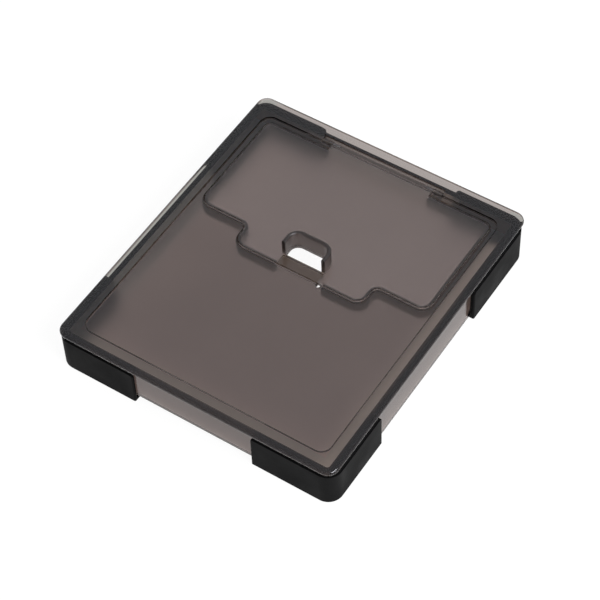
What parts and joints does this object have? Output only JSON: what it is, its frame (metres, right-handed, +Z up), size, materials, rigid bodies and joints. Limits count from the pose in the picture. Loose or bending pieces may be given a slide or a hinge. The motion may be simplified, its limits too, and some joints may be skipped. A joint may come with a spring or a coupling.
{
  "type": "bait station",
  "caption": "Low rectangular bait station: open-bottomed smoke-tinted cover with a hinged inspection door, a finger grip and black corner feet.",
  "frame": {"origin": "middle of the footprint, on the surface that the feet stand on", "axes": "+X along the front edge, +Y back to the hinge edge, +Z up"},
  "size_m": [0.1208, 0.138, 0.0258],
  "materials": {
    "smoke_cover": "gloss",
    "smoke_door": "gloss",
    "pin_steel": "satin",
    "foot_rubber": "matte"
  },
  "bodies": {
    "station": {"cover_shell": "smoke_cover", "hinge_pin_left": "pin_steel", "hinge_pin_right": "pin_steel", "foot_front_left": "foot_rubber", "foot_front_right": "foot_rubber", "foot_back_left": "foot_rubber", "foot_back_right": "foot_rubber"},
    "door": {"flap_door": "smoke_door"}
  },
  "joints": [
    {"name": "door_hinge", "type": "hinge", "parent": "station", "child": "door", "pos_m": [0, 0.06175, 0.0172], "axis": [-1, 0, 0], "range_deg": [0, 95]}
  ]
}
